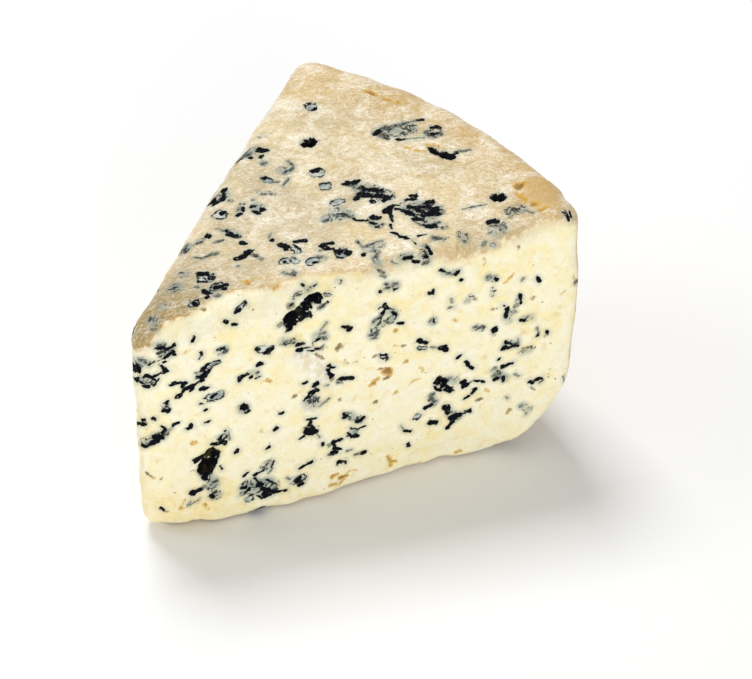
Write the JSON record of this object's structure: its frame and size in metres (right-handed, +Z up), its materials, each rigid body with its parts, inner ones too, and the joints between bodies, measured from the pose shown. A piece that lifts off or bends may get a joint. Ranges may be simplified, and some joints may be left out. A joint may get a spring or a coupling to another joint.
{
  "type": "blue cheese wedge",
  "caption": "Wedge of soft blue-veined cheese cut from a round wheel: pointed tip, curved rind, flat base, mould pockets and needle holes.",
  "frame": {"origin": "centre of the bounding box's bottom, on the flat base", "axes": "+X from the wedge's tip to the rind of its rim, +Z up; the cut with the recorded pockets faces -Y"},
  "size_m": [0.0956, 0.0824, 0.0616],
  "materials": {
    "paste": "satin"
  },
  "bodies": {
    "root": {"cheese_wedge": "paste"}
  },
  "joints": []
}
